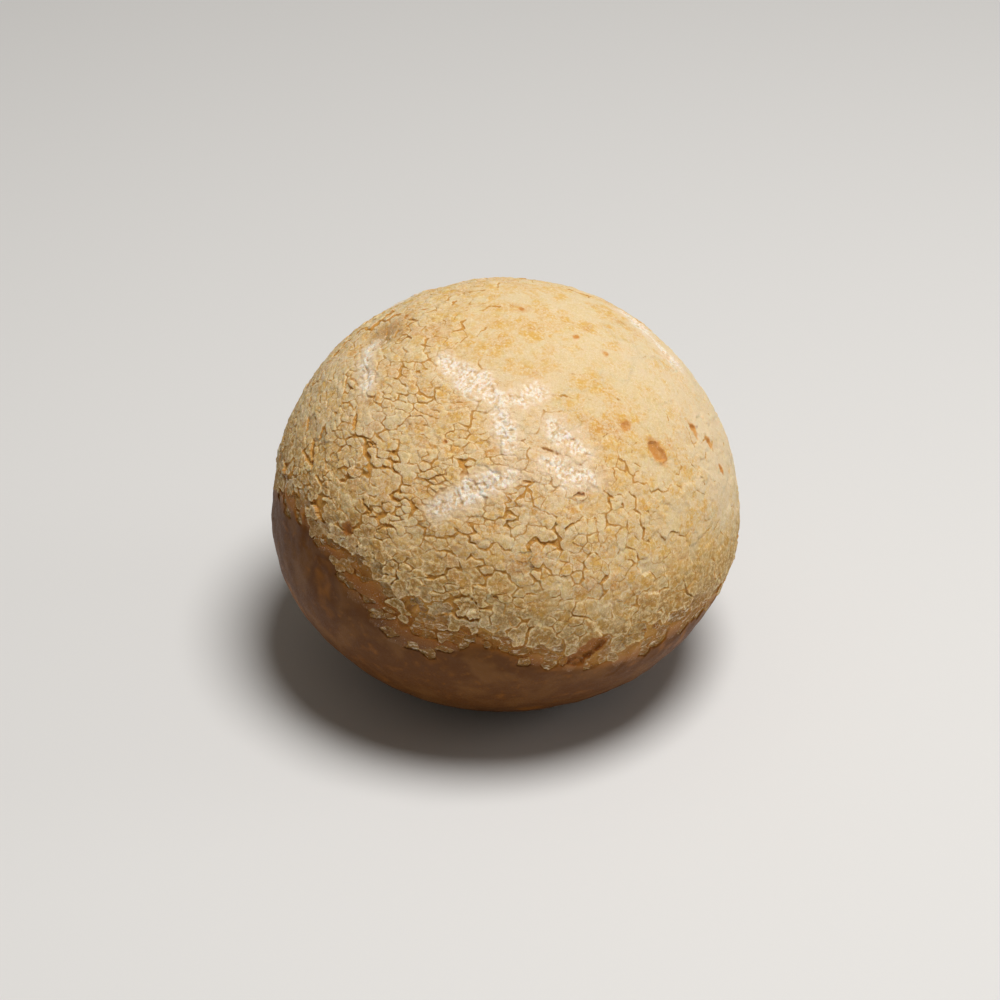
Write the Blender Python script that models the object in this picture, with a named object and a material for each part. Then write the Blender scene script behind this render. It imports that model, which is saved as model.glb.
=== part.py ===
"""Pao de queijo, the Brazilian cheese ball: one baked piece, solid all through.

It stands on its flat base with +Z up, its front towards -Y and the middle of its base at the
origin. Lengths are metres, angles are degrees. A place on the skin is given as an azimuth,
turning from the front towards +X, and an elevation above the girth.
"""
import math

import bmesh
import bpy
import numpy as np

# Driving dimensions.
WIDTH = 0.0600               # across, left to right
DEPTH = 0.0592               # front to back
HEIGHT = 0.0502              # base to crown
GIRTH_HEIGHT = 0.0225        # the widest level, above the base
UNDERSIDE_REACH = 0.0252     # how far below the girth the underside would close if it weren't flat
DOME_SQUARENESS = 2.20       # 2 is an ellipse, more is boxier
UNDERSIDE_SQUARENESS = 1.86
SIDE_LEAN = -0.012           # sideways shift towards +X for each metre of height
BELLY_SPREAD = 1.9           # how much wider the ball gets for each metre further down

# Dough never rises evenly: many small waves of swelling, added up.
SWELL_WAVES = 40
SWELL_SEED = 8
SWELL_SIZE = 0.00028
SWELL_SLOWEST = 2.0          # waves per radius of the ball
SWELL_FASTEST = 8.0

# The crust ends in a low step above the smooth belly, and its edge leans down towards +X.
CRUST_EDGE_HEIGHT = 0.0230
CRUST_EDGE_LEAN = 0.20
CRUST_EDGE_WANDER = 0.0010
CRUST_STEP = 0.00040
CRUST_STEP_SOFTNESS = 0.0010

# Hollows: azimuth, elevation, radius and depth.
DENTS = (
    (-98, 56, 0.0042, 0.0009),
    (-68, 30, 0.0022, 0.0004),
    (-43, 16, 0.0024, 0.0004),
    (118, 24, 0.0060, 0.0005),
    (170, 42, 0.0060, 0.0006),
    (-140, 30, 0.0050, 0.0005),
)

# Tears where the crust was pulled apart: two ends (azimuth, elevation), width and depth.
TEARS = (
    ((-44, 69), (0, 62), 0.0014, 0.0005),
    ((0, 62), (2, 47), 0.0016, 0.0005),
    ((22, 62), (42, 55), 0.0013, 0.0004),
    ((-17, 32), (0, 40), 0.0014, 0.0005),
    ((23, 50), (27, 37), 0.0012, 0.0004),
    ((-58, 42), (-41, 38), 0.0012, 0.0004),
    ((96, 40), (122, 50), 0.0015, 0.0005),
    ((150, 22), (176, 31), 0.0014, 0.0005),
    ((-160, 52), (-128, 44), 0.0016, 0.0005),
)

SPHERE_SUBDIVISIONS = 5
SHORTEST_EDGE = 0.0003       # shorter edges along the base's rim are merged
BREAD_COLOUR = (0.72, 0.50, 0.25, 1.0)
BREAD_ROUGHNESS = 0.78


def direction(azimuth, elevation):
    """Unit vector towards a place on the skin."""
    turn = math.radians(azimuth)
    rise = math.radians(elevation)
    return np.array((math.sin(turn) * math.cos(rise), -math.cos(turn) * math.cos(rise), math.sin(rise)))


def smooth_step(value):
    """0 below 0, 1 above 1, with a smooth rise between."""
    inside = np.clip(value, 0.0, 1.0)
    return inside * inside * (3.0 - 2.0 * inside)


def swelling(directions):
    """Uneven rise of the dough, outwards, from a fan of plane waves."""
    rng = np.random.default_rng(SWELL_SEED)
    headings = rng.normal(size=(SWELL_WAVES, 3))
    headings /= np.linalg.norm(headings, axis=1, keepdims=True)
    rates = rng.uniform(SWELL_SLOWEST, SWELL_FASTEST, SWELL_WAVES)
    phases = rng.uniform(0.0, 2.0 * math.pi, SWELL_WAVES)
    weights = SWELL_SLOWEST / rates
    waves = np.sin(directions @ (headings * rates[:, None]).T + phases)
    return SWELL_SIZE * (waves * weights).sum(axis=1) / math.sqrt((weights ** 2).sum())


def plain_ball(directions):
    """Points of the even loaf: a domed top and a fuller underside, both superellipses."""
    half_width = WIDTH / 2
    across = np.hypot(directions[:, 0], directions[:, 1]) / half_width
    upper = directions[:, 2] >= 0.0
    half_height = np.where(upper, HEIGHT - GIRTH_HEIGHT, UNDERSIDE_REACH)
    squareness = np.where(upper, DOME_SQUARENESS, UNDERSIDE_SQUARENESS)
    along = np.abs(directions[:, 2]) / half_height
    reach = (across ** squareness + along ** squareness) ** (-1.0 / squareness)
    points = directions * reach[:, None]
    points[:, 0] = (points[:, 0] + SIDE_LEAN * points[:, 2]) * (1.0 - BELLY_SPREAD * points[:, 2])
    return points


def crust_step(directions, points):
    """How far the crust stands out beyond the belly skin below its edge."""
    turns = np.arctan2(directions[:, 0], -directions[:, 1])
    wander = CRUST_EDGE_WANDER * (np.sin(3 * turns + 0.6) + 0.6 * np.sin(7 * turns + 2.0))
    edge = CRUST_EDGE_HEIGHT - GIRTH_HEIGHT - CRUST_EDGE_LEAN * points[:, 0] + wander
    return CRUST_STEP * (smooth_step((points[:, 2] - edge) / CRUST_STEP_SOFTNESS) - 1.0)


def dents(directions):
    """Depth of the round hollows."""
    depth = np.zeros(len(directions))
    for azimuth, elevation, radius, deepest in DENTS:
        away = np.arccos(np.clip(directions @ direction(azimuth, elevation), -1.0, 1.0)) * WIDTH / 2
        depth += deepest * np.exp(-((away / radius) ** 2))
    return depth


def tears(directions):
    """Depth of the furrows along the pulled cracks."""
    depth = np.zeros(len(directions))
    for start, end, width, deepest in TEARS:
        first = direction(*start)
        span = direction(*end) - first
        along = np.clip((directions - first) @ span / (span @ span), 0.0, 1.0)
        nearest = first + along[:, None] * span
        away = np.linalg.norm(directions - nearest, axis=1) * WIDTH / 2
        depth += deepest * np.exp(-((away / width) ** 2))
    return depth


def skin(directions):
    """Points of the finished skin, with the girth at height 0."""
    points = plain_ball(directions)
    outwards = swelling(directions) + crust_step(directions, points)
    outwards -= dents(directions) + tears(directions)
    return points + directions * outwards[:, None]


def material():
    """Pale golden crust."""
    finish = bpy.data.materials.new("golden_crust")
    finish.use_nodes = True
    shader = finish.node_tree.nodes["Principled BSDF"]
    shader.inputs["Base Color"].default_value = BREAD_COLOUR
    shader.inputs["Roughness"].default_value = BREAD_ROUGHNESS
    shader.inputs["Metallic"].default_value = 0.0
    finish.diffuse_color = BREAD_COLOUR
    return finish


def cut_flat_base(mesh):
    """Take off what lies below the base and close the cut with one flat face."""
    everything = mesh.verts[:] + mesh.edges[:] + mesh.faces[:]
    bmesh.ops.bisect_plane(mesh, geom=everything, dist=1e-6, plane_co=(0.0, 0.0, -GIRTH_HEIGHT),
                           plane_no=(0.0, 0.0, 1.0), clear_inner=True)
    bmesh.ops.dissolve_degenerate(mesh, dist=SHORTEST_EDGE, edges=mesh.edges)
    rim = [edge for edge in mesh.edges if edge.is_boundary]
    for vertex in {vertex for edge in rim for vertex in edge.verts}:
        vertex.co.z = -GIRTH_HEIGHT
    bmesh.ops.contextual_create(mesh, geom=rim)


def fit_to_size(mesh):
    """Stretch the ball to its driving sizes, stand it on z = 0 and centre it."""
    corners = np.array([vertex.co for vertex in mesh.verts])
    low = corners.min(axis=0)
    high = corners.max(axis=0)
    stretch = np.array((WIDTH, DEPTH, HEIGHT)) / (high - low)
    middle = np.array(((low[0] + high[0]) / 2, (low[1] + high[1]) / 2, low[2]))
    for vertex, corner in zip(mesh.verts, corners):
        vertex.co = (corner - middle) * stretch


def build_bread(collection):
    """The one solid: a sphere pressed into the loaf's form and cut flat below."""
    mesh = bmesh.new()
    bmesh.ops.create_icosphere(mesh, subdivisions=SPHERE_SUBDIVISIONS, radius=1.0)
    directions = np.array([vertex.co.normalized() for vertex in mesh.verts])
    for vertex, point in zip(mesh.verts, skin(directions)):
        vertex.co = point
    cut_flat_base(mesh)
    fit_to_size(mesh)
    bmesh.ops.recalc_face_normals(mesh, faces=mesh.faces)
    data = bpy.data.meshes.new("bread")
    mesh.to_mesh(data)
    mesh.free()
    data.materials.append(material())
    data.shade_smooth()
    data.set_sharp_from_angle(angle=math.radians(40))
    bread = bpy.data.objects.new("bread", data)
    collection.objects.link(bread)
    return bread


def main():
    for old in list(bpy.data.objects):
        bpy.data.objects.remove(old, do_unlink=True)
    collection = bpy.data.collections.new("pao_de_queijo")
    bpy.context.scene.collection.children.link(collection)
    build_bread(collection)


main()
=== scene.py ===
"""Looks of a pao de queijo, the Brazilian cheese ball: a thin crackled crust over a smooth belly.

The skin starts as one sphere of triangles. It is pressed into the loaf's form, and the crust is
parted into slabs, plates and flakes like dried mud: every crack gets its own line of points along
its rim and along its floor, so that its walls are crisp. Then the skin is cut, along cracks, into
the pieces that ride on the frame. Lengths are metres, angles are degrees. A place on the skin is
an azimuth, turning from the front towards +X, and an elevation above the girth.
"""
import math

import bmesh
import bpy
import numpy as np
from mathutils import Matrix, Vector
from mathutils.kdtree import KDTree


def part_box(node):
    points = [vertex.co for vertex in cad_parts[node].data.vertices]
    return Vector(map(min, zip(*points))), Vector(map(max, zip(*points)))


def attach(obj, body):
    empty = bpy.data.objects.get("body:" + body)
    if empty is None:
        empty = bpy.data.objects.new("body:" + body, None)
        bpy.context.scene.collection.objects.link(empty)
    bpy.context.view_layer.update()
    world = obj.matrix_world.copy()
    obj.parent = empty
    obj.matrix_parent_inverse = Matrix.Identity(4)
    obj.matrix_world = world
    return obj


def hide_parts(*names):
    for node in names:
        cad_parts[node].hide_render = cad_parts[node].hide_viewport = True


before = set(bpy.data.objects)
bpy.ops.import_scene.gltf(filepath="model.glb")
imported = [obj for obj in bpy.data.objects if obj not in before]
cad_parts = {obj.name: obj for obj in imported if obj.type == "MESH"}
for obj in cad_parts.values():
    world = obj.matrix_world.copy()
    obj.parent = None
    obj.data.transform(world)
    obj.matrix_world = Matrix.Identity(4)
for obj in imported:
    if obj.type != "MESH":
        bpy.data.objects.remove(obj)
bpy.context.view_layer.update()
LOW, HIGH = (np.array(corner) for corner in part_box("bread"))
WIDTH, DEPTH, HEIGHT = HIGH - LOW

MM = 0.001

# ---------------------------------------------------------------- the loaf's form

GIRTH_HEIGHT = 22.5 * MM      # the widest level, above the base
UNDERSIDE_REACH = 25.2 * MM   # how far below the girth the underside would close
DOME_SQUARENESS = 2.20        # 2 is an ellipse, more is boxier
UNDERSIDE_SQUARENESS = 1.86
SIDE_LEAN = -0.012            # towards +X, for each unit of height
BELLY_SPREAD = 1.9            # narrowing across X, for each metre of height
BASE_ROUNDING = 0.7 * MM      # how softly the flat base turns up into the side

SWELL_WAVES = 40              # the dough rises unevenly
SWELL_SEED = 8
SWELL_SIZE = 0.28 * MM
SWELL_SLOWEST = 2.0           # radians of wave for each unit of direction
SWELL_FASTEST = 8.0
FIT_POINTS = 40000            # of the trial ball that is fitted to the frame

DENTS = (                     # azimuth, elevation, radius, depth
    (-98, 56, 4.2 * MM, 0.9 * MM),
    (-68, 30, 2.2 * MM, 0.4 * MM),
    (-43, 16, 2.4 * MM, 0.4 * MM),
    (118, 24, 6.0 * MM, 0.5 * MM),
    (170, 42, 6.0 * MM, 0.6 * MM),
    (-140, 30, 5.0 * MM, 0.5 * MM),
)

# ---------------------------------------------------------------- the crust

CRUST_EDGE_HEIGHT = 23.3 * MM
CRUST_EDGE_LEAN = 0.22
CRUST_EDGE_RISE = 2.3 * MM                # more on the left
LEDGE_RISE = 2.2 * MM                     # and over the faded zone in front of it
LEFT_SIDE = (-70, 12, 4, 24)              # azimuth, elevation, inner and outer angle
LEDGE = (-38, 4, 6, 20)
CRUST_THICKNESS = 0.30 * MM
THIN_THICKNESS = 0.05 * MM                # of the faded plates below the crust's edge

FLAKE, PLATE, SLAB = 0, 1, 2              # a slab is made of plates, a plate of flakes
CRACK_DEPTH = np.array((0.050, 0.085, 0.15)) * MM
CRACK_HALF_WIDTH = np.array((0.050, 0.085, 0.14)) * MM
CRACK_WALL = np.array((0.040, 0.065, 0.11)) * MM
CRACK_CHANCE = np.array((0.55, 0.80, 0.96))
EDGE_WALL = 0.16 * MM                     # slant of the crust's own edge
TEAR_WALL = 0.30 * MM
SMEAR = 2.2 * MM                          # how far round a tear its crumbs reach
GASH_WALL = 0.16 * MM
SHOULDER = 0.15 * MM                      # reach of the rounded rim of a plate
NEIGHBOURS = 14                           # flakes looked at round each point
FAR = 1.0                                 # a length that stands for nowhere near
NEAREST_CROSSING = 0.16                   # share of an edge: a point nearer to a line moves onto it
FLAKE_BLEND = 0.10 * MM                   # over which one flake gives way to the next
UNOPENED = -0.06 * MM                     # half width of a border with no crack
NARROWEST = 0.05 * MM                     # taken off a crack where it tapers out
EDGE_GAP = 0.08 * MM                      # between a flake and the bare dough beside it
FLAKE_LIFT = 0.030 * MM
EDGE_LIFT = 0.05 * MM                     # more of it near the crust's edge

TEARS = (                                 # crumbly: azimuth and elevation of both ends, half width
    ((-46, 68), (-20, 66), 0.80 * MM),
    ((-22, 66), (-2, 59), 1.40 * MM),
    ((-2, 60), (3, 47), 0.85 * MM),
    ((3, 60), (22, 62), 0.90 * MM),
    ((-19, 31), (-5, 38), 0.90 * MM),
    ((-5, 38), (3, 41), 0.50 * MM),
    ((14, 43), (27, 36), 0.95 * MM),
    ((20, 53), (27, 43), 0.75 * MM),
    ((-94, 53), (-66, 50), 0.50 * MM),
    ((96, 40), (122, 50), 0.60 * MM),
    ((150, 22), (176, 31), 0.50 * MM),
    ((-160, 52), (-128, 44), 0.60 * MM),
)

GASHES = (                                # open down to amber dough: both ends, half width
    ((-64, 46), (-57, 40), 0.42 * MM),
    ((-56, 42), (-44, 40), 0.20 * MM),
    ((-72, 31), (-65, 26), 0.42 * MM),
    ((-62, 61), (-45, 62), 0.26 * MM),
    ((-67, 64), (-61, 66), 0.12 * MM),
    ((-51, 26), (-41, 31), 0.22 * MM),
    ((-41, 28), (-37, 26), 0.45 * MM),
    ((-36, 23), (-19, 28), 0.16 * MM),
    ((-8, 13), (-4, 8), 0.26 * MM),
    ((-5, 15), (0, 11), 0.24 * MM),
    ((19, 34), (26, 33), 0.28 * MM),
    ((22, 21), (27, 16), 0.20 * MM),
    ((28, 35), (37, 26), 0.17 * MM),
    ((0, 53), (3, 50), 0.20 * MM),
    ((14, 47), (22, 44), 0.20 * MM),
    ((2, 40), (14, 37), 0.24 * MM),
    ((24, 61), (42, 55), 0.13 * MM),
    ((110, 30), (122, 22), 0.30 * MM),
    ((160, 48), (176, 42), 0.24 * MM),
    ((-120, 30), (-110, 36), 0.32 * MM),
    ((-150, 36), (-141, 28), 0.26 * MM),
)

PITS = (                                  # azimuth, elevation, half width, half height, depth
    (53, 36, 1.00 * MM, 1.75 * MM, 0.34 * MM),
    (48, 45, 0.75 * MM, 0.60 * MM, 0.16 * MM),
    (72, 33, 0.50 * MM, 0.95 * MM, 0.22 * MM),
    (76, 27, 0.45 * MM, 0.90 * MM, 0.22 * MM),
    (75, 20, 0.30 * MM, 0.60 * MM, 0.20 * MM),
    (21, -3, 1.45 * MM, 1.45 * MM, 0.55 * MM),
    (19, -5, 1.45 * MM, 1.45 * MM, 0.55 * MM),
    (17, -7, 1.25 * MM, 1.35 * MM, 0.45 * MM),
    (-21, 47, 0.32 * MM, 0.32 * MM, 0.40 * MM),
    (-2, 41, 0.45 * MM, 0.40 * MM, 0.40 * MM),
    (-43, 20, 0.65 * MM, 0.90 * MM, 0.42 * MM),
    (132, 83, 0.60 * MM, 0.35 * MM, 0.18 * MM),
    (75, 70, 0.40 * MM, 0.35 * MM, 0.12 * MM),
    (73, 61, 0.35 * MM, 0.45 * MM, 0.12 * MM),
    (120, 44, 0.70 * MM, 0.95 * MM, 0.24 * MM),
    (-150, 24, 0.60 * MM, 1.10 * MM, 0.34 * MM),
    (165, 8, 0.70 * MM, 1.30 * MM, 0.40 * MM),
    (-110, 62, 0.45 * MM, 0.35 * MM, 0.16 * MM),
)
PIT_WALL = 0.36 * MM

WORN = (-100, 57, 2, 10)                  # where the crust is worn thin
DUSTY = (30, -8, 22, 55)                  # where the belly is dusted most
DUSTY_BACK = (175, -5, 30, 80)
SMOOTH_CROWN = (80, 69, 14, 48)
SPARSE_SIDE = (80, 30, 20, 50)            # few cracks, and thin ones
FINE_FRONT = (5, 25, 15, 40)              # small flakes
GAPING_LEFT = (-45, 20, 15, 40)           # wider cracks
BANDED_LEFT = (-50, 25, 25, 60)           # cracks that run level
BANDED_BACK = (150, 20, 15, 50)
FADED_FRONT = (-28, 3, 8, 26)             # where thin plates reach further down
FADED_BACK = (160, 0, 10, 40)

FLOURED = (                               # azimuth, elevation, inner and outer angle, amount
    (12, 46, 6, 20, 0.50),
    (2, 60, 5, 18, 0.35),
    (-96, 52, 4, 20, 0.20),
    (-84, 26, 8, 26, 0.22),
    (92, 22, 12, 42, 0.62),
    (-38, 42, 5, 18, 0.25),
    (78, 55, 10, 40, 0.12),
    (170, 70, 6, 26, 0.35),
    (165, 30, 8, 30, 0.40),
    (-140, 26, 8, 30, 0.45),
)


def direction(azimuth, elevation):
    """Unit vector towards a place on the skin."""
    turn = math.radians(azimuth)
    rise = math.radians(elevation)
    return np.array((math.sin(turn) * math.cos(rise), -math.cos(turn) * math.cos(rise), math.sin(rise)))


def smooth_step(value):
    """0 below 0, 1 above 1, with a smooth rise between."""
    inside = np.clip(value, 0.0, 1.0)
    return inside * inside * (3.0 - 2.0 * inside)


def around(directions, azimuth, elevation, inner, outer):
    """1 within inner degrees of a place, falling to 0 at outer degrees."""
    away = np.degrees(np.arccos(np.clip(directions @ direction(azimuth, elevation), -1.0, 1.0)))
    return smooth_step((outer - away) / (outer - inner))


# ---------------------------------------------------------------- noise

LATTICE = 256                 # a power of two


class Noise:
    """Smooth random values in space, from seeded gradients on a unit lattice."""

    def __init__(self, seed, channels=1):
        rng = np.random.default_rng(seed)
        self.order = rng.permutation(LATTICE)
        gradients = rng.normal(size=(LATTICE, channels, 3))
        self.gradients = (gradients / np.linalg.norm(gradients, axis=2, keepdims=True)).astype(np.float32)

    def all(self, points, wavelength):
        """One row of values of about -1 to 1 for each point; they change over one wavelength."""
        places = points / wavelength
        cells = np.floor(places)
        inside = (places - cells).astype(np.float32)
        fade = inside ** 3 * (inside * (inside * 6.0 - 15.0) + 10.0)
        lower = cells.astype(np.int64) & (LATTICE - 1)
        upper = (lower + 1) & (LATTICE - 1)
        total = np.zeros((len(points), self.gradients.shape[1]), np.float32)
        for i, j, k in np.ndindex(2, 2, 2):
            x = (upper if i else lower)[:, 0]
            y = (upper if j else lower)[:, 1]
            z = (upper if k else lower)[:, 2]
            pick = self.order[(self.order[(self.order[x] + y) & (LATTICE - 1)] + z) & (LATTICE - 1)]
            share = fade[:, 0] if i else 1.0 - fade[:, 0]
            share = share * (fade[:, 1] if j else 1.0 - fade[:, 1])
            share = share * (fade[:, 2] if k else 1.0 - fade[:, 2])
            away = inside - np.array((i, j, k), np.float32)
            total += np.einsum("nci,ni->nc", self.gradients[pick], away) * share[:, None]
        return total * 1.6

    def __call__(self, points, wavelength):
        return self.all(points, wavelength)[:, 0]


WARP_NOISE = Noise(101, channels=3)
ZONE_NOISE = Noise(103)
GAPE_NOISE = Noise(104)
TAPER_NOISE = Noise(105)
EDGE_NOISE = Noise(106)
RELIEF_NOISE = Noise(107)
CRUMB_NOISE = Noise(108)
FIBRE_NOISE = Noise(109)


# ---------------------------------------------------------------- form

def swelling(directions):
    """Uneven rise of the dough, outwards, from a fan of plane waves."""
    rng = np.random.default_rng(SWELL_SEED)
    headings = rng.normal(size=(SWELL_WAVES, 3))
    headings /= np.linalg.norm(headings, axis=1, keepdims=True)
    rates = rng.uniform(SWELL_SLOWEST, SWELL_FASTEST, SWELL_WAVES)
    phases = rng.uniform(0.0, 2.0 * math.pi, SWELL_WAVES)
    weights = SWELL_SLOWEST / rates
    waves = np.sin(directions @ (headings * rates[:, None]).T + phases)
    return SWELL_SIZE * (waves * weights).sum(axis=1) / math.sqrt((weights ** 2).sum())


def dent_depth(directions):
    """Depth of the round hollows."""
    depth = np.zeros(len(directions))
    for azimuth, elevation, radius, deepest in DENTS:
        away = np.arccos(np.clip(directions @ direction(azimuth, elevation), -1.0, 1.0)) * WIDTH / 2
        depth += deepest * np.exp(-((away / radius) ** 2))
    return depth


def risen_ball(directions):
    """Points of the swollen loaf, before it is set down, with the girth at height 0."""
    across = np.hypot(directions[:, 0], directions[:, 1]) / (WIDTH / 2)
    upper = directions[:, 2] >= 0.0
    half_height = np.where(upper, HEIGHT - GIRTH_HEIGHT, UNDERSIDE_REACH)
    squareness = np.where(upper, DOME_SQUARENESS, UNDERSIDE_SQUARENESS)
    along = np.abs(directions[:, 2]) / half_height
    reach = (across ** squareness + along ** squareness) ** (-1.0 / squareness)
    points = directions * reach[:, None]
    points[:, 0] = (points[:, 0] + SIDE_LEAN * points[:, 2]) * (1.0 - BELLY_SPREAD * points[:, 2])
    outwards = swelling(directions) - dent_depth(directions)
    return points + directions * outwards[:, None]


def sphere_directions(count):
    """Evenly spread unit vectors along a golden spiral."""
    steps = np.arange(count) + 0.5
    polar = np.arccos(1.0 - 2.0 * steps / count)
    turns = math.pi * (1.0 + math.sqrt(5.0)) * steps
    return np.stack((np.cos(turns) * np.sin(polar), np.sin(turns) * np.sin(polar), np.cos(polar)), axis=1)


def fitting():
    """Stretch and shift that bring the risen ball to the frame's box."""
    points = risen_ball(sphere_directions(FIT_POINTS))
    points = points[points[:, 2] > -GIRTH_HEIGHT]
    low = points.min(axis=0)
    high = points.max(axis=0)
    low[2] = -GIRTH_HEIGHT
    stretch = (HIGH - LOW) / (high - low)
    return stretch, LOW - low * stretch


STRETCH, SHIFT = fitting()


def crust_surface(directions):
    """Points of the outermost skin of the loaf in the frame."""
    return risen_ball(directions) * STRETCH + SHIFT


def set_down(points):
    """Press what would be below the base flat, with a soft turn at its rim."""
    pressed = points.copy()
    height = points[:, 2] - LOW[2]
    soft = (height + BASE_ROUNDING) ** 2 / (4.0 * BASE_ROUNDING)
    flat = np.where(height < -BASE_ROUNDING, 0.0, soft)
    pressed[:, 2] = LOW[2] + np.where(height > BASE_ROUNDING, height, flat)
    return pressed


# ---------------------------------------------------------------- where the crust does what

def edge_clearance(directions, points):
    """Height above the crust's lower edge."""
    turns = np.arctan2(directions[:, 0], -directions[:, 1])
    wander = np.sin(7 * turns + 2.0) - 1.3 * np.cos(3 * turns - 0.8)
    rise = CRUST_EDGE_RISE * around(directions, *LEFT_SIDE) + LEDGE_RISE * around(directions, *LEDGE)
    return points[:, 2] - (CRUST_EDGE_HEIGHT - CRUST_EDGE_LEAN * points[:, 0] + wander * MM + rise)


def fringe(directions, points):
    """How far the faded plates reach below the crust's edge."""
    reach = 2.6 + 4.0 * around(directions, *FADED_FRONT) + 2.4 * around(directions, *FADED_BACK)
    return (reach + 1.3 * ZONE_NOISE(points, 5.0 * MM)) * MM


def calm(directions):
    """1 on the smooth crown, 0 where the crust is cracked all over."""
    return around(directions, *SMOOTH_CROWN)


def banding(directions):
    """1 where the cracks run level, in bands."""
    return around(directions, *BANDED_LEFT) + 0.8 * around(directions, *BANDED_BACK)


def sparseness(directions):
    """1 where the cracks are few and thin."""
    return around(directions, *SPARSE_SIDE)


def gape(directions, points):
    """How wide the cracks stand open: 1 is usual."""
    near_edge = smooth_step((6.0 * MM - edge_clearance(directions, points)) / (5.0 * MM))
    wide = 0.85 + 1.1 * near_edge + 0.30 * around(directions, *GAPING_LEFT)
    tight = 1.0 - 0.45 * sparseness(directions) - 0.5 * calm(directions)
    uneven = 1.0 + 0.5 * GAPE_NOISE(points, 6.0 * MM)
    return np.minimum(wide * tight * uneven, 1.4 + 1.0 * near_edge)


def flouring(directions, points):
    """How much flour lies on the crust."""
    amount = 0.22 + 0.35 * ZONE_NOISE(points, 13.0 * MM)
    for azimuth, elevation, inner, outer, more in FLOURED:
        amount = amount + more * around(directions, azimuth, elevation, inner, outer)
    near_edge = 1.0 - smooth_step(np.abs(edge_clearance(directions, points) - 1.2 * MM) / (2.5 * MM))
    return np.clip(amount + 0.35 * near_edge, 0.0, 1.0)


def flake_spacing(directions, points):
    """Least distance between the middles of neighbouring flakes."""
    usual = 1.25 - 0.22 * around(directions, *FINE_FRONT) + 0.75 * calm(directions)
    spacing = usual * MM * (1.0 + 0.45 * ZONE_NOISE(points, 5.0 * MM))
    return np.where(edge_clearance(directions, points) < -BELLY_START, BELLY_SPACING, spacing)


# ---------------------------------------------------------------- flakes, plates and slabs

SCATTER = 60000                           # places that a flake's middle may have
SCATTER_SEED = 21
PAIR_SEED = 31
PLATE_SPACING = 1.9                       # in flakes
SLAB_SPACING = 4.0
BELLY_START = 6.0 * MM                    # below the crust's edge there is no crust at all
BELLY_SPACING = 2.6 * MM
TILT = 0.055                              # slope of the plates
CURL = 0.16 * MM                          # how far their rims turn up near the crust's edge
WARPS = ((4.0 * MM, 0.42 * MM), (1.1 * MM, 0.20 * MM), (0.45 * MM, 0.105 * MM))


def crack_space(points):
    """The points moved by small noise, which makes straight cracks jagged."""
    moved = points.copy()
    for wavelength, size in WARPS:
        moved += size * WARP_NOISE.all(points, wavelength)
    return moved


def uphill(directions):
    """Unit vectors that lie in the skin and point up."""
    up = -directions * directions[:, 2:3]
    up[:, 2] += 1.0
    return up / np.maximum(np.linalg.norm(up, axis=1, keepdims=True), 0.05)


def thin_out(places, ups, squeeze, spacing, order):
    """Indices of a scatter in which no two places are nearer than the spacing."""
    tree = KDTree(len(places))
    for index, place in enumerate(places):
        tree.insert(place, index)
    tree.balance()
    gone = np.zeros(len(places), bool)
    kept = []
    for index in order:
        if gone[index]:
            continue
        kept.append(index)
        near = np.array([found[1] for found in tree.find_range(places[index], spacing[index])])
        gap = places[near] - places[index]
        climb = gap @ ups[index]
        length = np.sqrt((gap ** 2).sum(axis=1) + squeeze[index] * climb ** 2)
        gone[near[length < spacing[index]]] = True
    return np.array(kept)


def nearest_of(places, chosen):
    """For each place, which of the chosen ones is nearest."""
    tree = KDTree(len(chosen))
    for index in chosen:
        tree.insert(places[index], int(index))
    tree.balance()
    return np.array([tree.find(place)[1] for place in places])


class Flakes:
    """Middles of the flakes, and the plate and slab that each belongs to."""

    def __init__(self):
        rng = np.random.default_rng(SCATTER_SEED)
        directions = sphere_directions(SCATTER)
        directions += rng.normal(size=directions.shape) * 0.006
        directions /= np.linalg.norm(directions, axis=1, keepdims=True)
        points = crust_surface(directions)
        places = crack_space(points)
        ups = uphill(directions)
        squeeze = squeezing(directions)
        spacing = flake_spacing(directions, points)
        order = rng.permutation(len(directions))
        kept = thin_out(places, ups, squeeze, spacing, order)
        self.directions = directions[kept]
        self.points = points[kept]
        self.places = places[kept]
        ups, squeeze, spacing = ups[kept], squeeze[kept], spacing[kept]
        order = rng.permutation(len(kept))
        plates = thin_out(self.places, ups, squeeze, spacing * PLATE_SPACING, order)
        slabs = thin_out(self.places, ups, squeeze, spacing * SLAB_SPACING, order)
        self.plate = nearest_of(self.places, plates)
        self.slab = nearest_of(self.places, slabs)[self.plate]
        clearance = edge_clearance(self.directions, self.points) + rng.normal(size=len(kept)) * 0.4 * MM
        reach = fringe(self.directions, self.points)
        fading = np.clip(-clearance / reach, 0.0, 1.0)
        self.belly = clearance < -reach
        wavering = clearance + rng.normal(size=len(kept)) * 0.7 * MM
        self.thin = np.clip(0.40 - wavering / (2.6 * MM), 0.0, 1.0)[self.plate]
        self.lost = self.belly | (rng.random(len(kept)) < 0.10 + 0.45 * fading) & (clearance < 0.0)
        self.lift = rng.normal(size=len(kept))
        self.tone = rng.random(len(kept))
        self.tilt = rng.normal(size=(len(kept), 3)) * TILT
        self.tree = KDTree(len(kept))
        for index, place in enumerate(self.places):
            self.tree.insert(place, index)
        self.tree.balance()

    def near(self, directions):
        """The flakes nearest to each direction's point."""
        places = crack_space(crust_surface(directions))
        return np.array([[found[1] for found in self.tree.find_n(place, NEIGHBOURS)] for place in places])


def squeezing(directions):
    """How much more distance counts uphill than across: it flattens the flakes into bands."""
    return 2.2 * banding(directions) * (1.0 - calm(directions))


LOTS = 8192
PAIR_LOTS = np.random.default_rng(PAIR_SEED).random((3, LOTS))


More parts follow.
